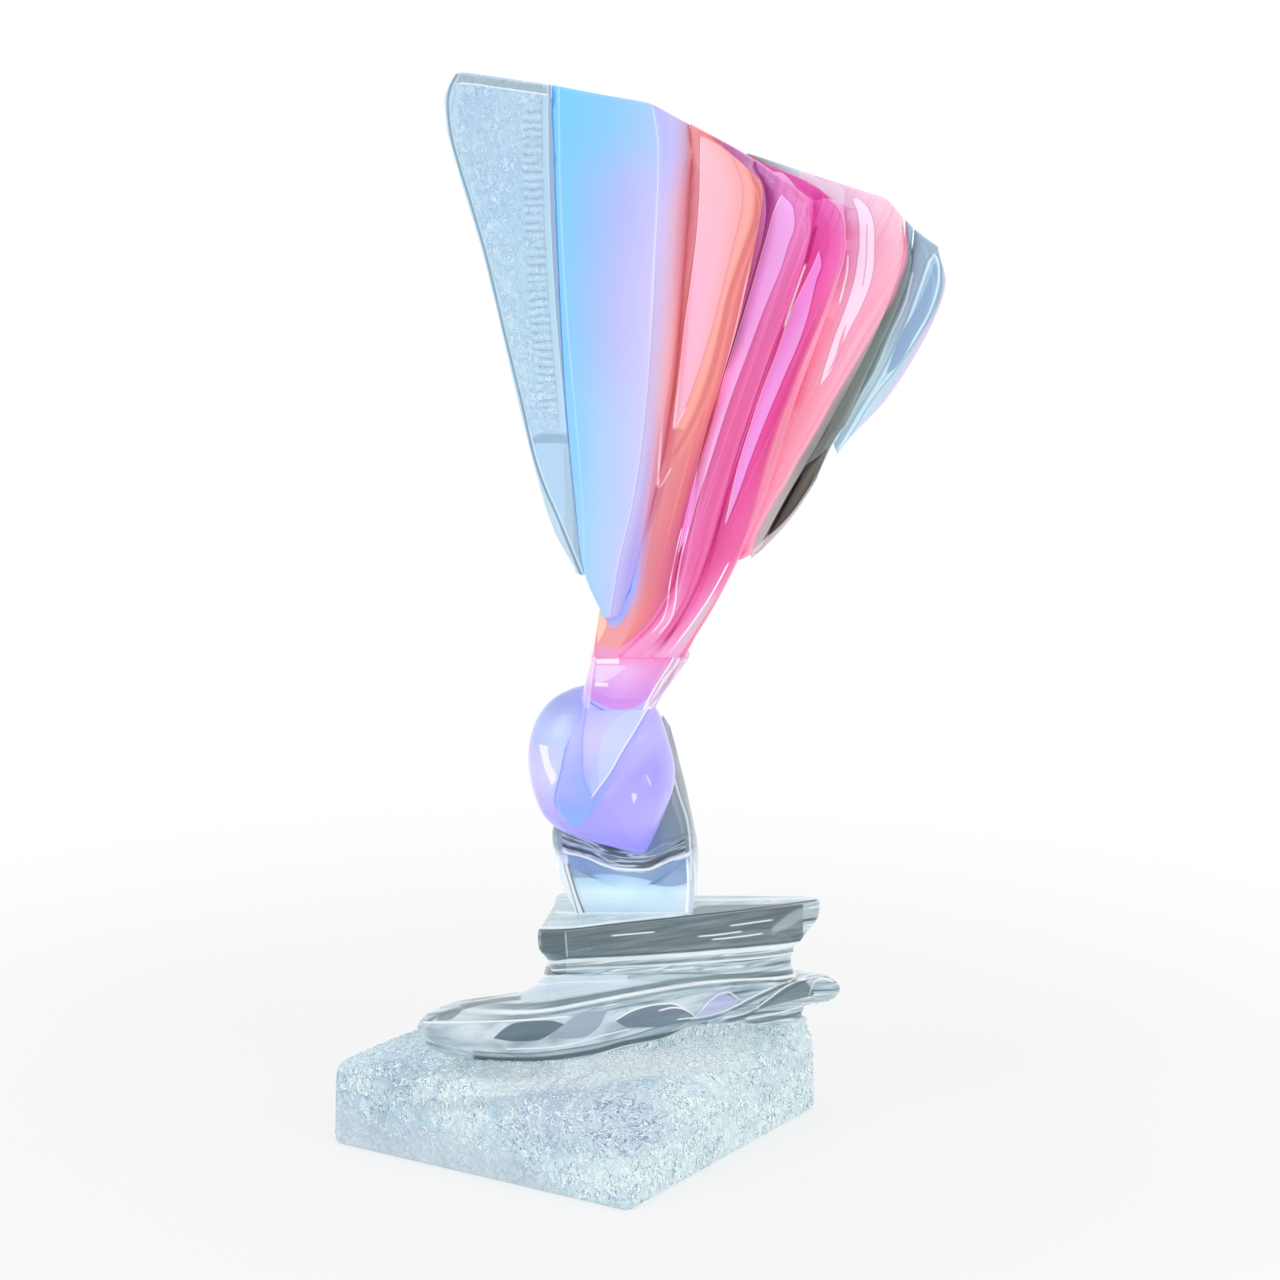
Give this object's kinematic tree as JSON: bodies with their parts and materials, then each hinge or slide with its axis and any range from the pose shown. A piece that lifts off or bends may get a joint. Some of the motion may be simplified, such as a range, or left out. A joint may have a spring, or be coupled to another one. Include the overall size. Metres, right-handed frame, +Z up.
{
  "type": "acrylic fan sculpture",
  "caption": "Table-top sculpture of clear and dyed acrylic: a pleated fan of thick sheet on a tongue, a bulb and a chamfered pedestal, over carved tiers and a rough square plinth.",
  "frame": {"origin": "centre of the plinth's flat underside", "axes": "+Z up through the sculpture; +X and +Y along the plinth's sides; the fan's width is turned 33.64 degrees from +X towards +Y, so its front looks towards -Y and +X"},
  "size_m": [0.2565, 0.2556, 0.6124],
  "materials": {
    "plinth": "rough, iced",
    "wave_tier": "polished",
    "upper_tier": "polished",
    "pedestal": "polished",
    "bulb": "polished",
    "tongue": "polished",
    "neck": "polished",
    "clear_panel": "hammered",
    "blue_pleat": "polished",
    "coral_pleat": "polished",
    "lilac_pleat": "polished",
    "magenta_pleat": "polished",
    "pink_pleat": "polished",
    "smoke_pleat": "polished",
    "clear_tip": "polished"
  },
  "bodies": {
    "root": {"plinth": "plinth", "wave_tier": "wave_tier", "upper_tier": "upper_tier", "pedestal": "pedestal", "bulb": "bulb", "tongue": "tongue", "neck": "neck", "clear_panel": "clear_panel", "blue_pleat": "blue_pleat", "coral_pleat": "coral_pleat", "lilac_pleat": "lilac_pleat", "magenta_pleat": "magenta_pleat", "pink_pleat": "pink_pleat", "smoke_pleat": "smoke_pleat", "clear_tip": "clear_tip"}
  },
  "joints": []
}
